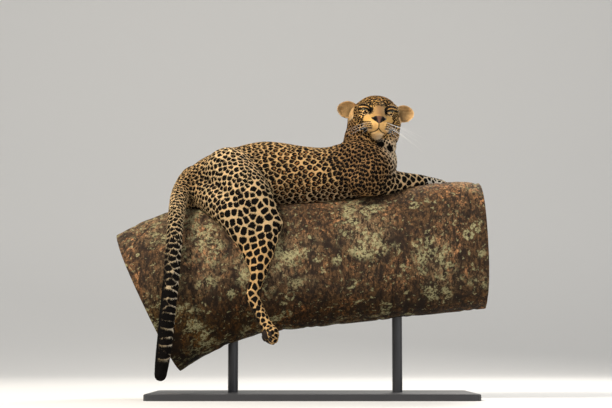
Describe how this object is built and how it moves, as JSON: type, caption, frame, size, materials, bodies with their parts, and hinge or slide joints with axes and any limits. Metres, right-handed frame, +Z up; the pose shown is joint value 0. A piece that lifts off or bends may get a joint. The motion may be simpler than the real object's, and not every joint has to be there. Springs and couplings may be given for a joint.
{
  "type": "leopard",
  "caption": "Life-size leopard lying astride a cut length of bough with its head raised and turned to one side, on a plain display stand.",
  "frame": {"origin": "centre of the stand's underside, on the floor", "axes": "+X from the tail towards the chest along the bough, -Y the way the face looks, +Z up"},
  "size_m": [1.1726, 0.59, 0.963],
  "materials": {
    "coat": "short spotted fur",
    "eye": "wet and glossy",
    "bark": "rough bark with lichen",
    "stand": "satin black"
  },
  "bodies": {
    "root": {"ear_left": "coat", "ear_right": "coat", "eye_left": "eye", "eye_right": "eye", "fore_paw_left": "coat", "fore_paw_right": "coat", "forearm_left": "coat", "forearm_right": "coat", "head": "coat", "hind_paw_left": "coat", "hind_paw_right": "coat", "neck": "coat", "perch_bough": "bark", "shank_left": "coat", "shank_right": "coat", "stand_base": "stand", "stand_rod_head_end": "stand", "stand_rod_tail_end": "stand", "tail_base": "coat", "tail_lower": "coat", "tail_middle": "coat", "tail_tip": "coat", "thigh_left": "coat", "thigh_right": "coat", "torso_belly": "coat", "torso_chest": "coat", "torso_hips": "coat", "upper_arm_left": "coat", "upper_arm_right": "coat"}
  },
  "joints": []
}
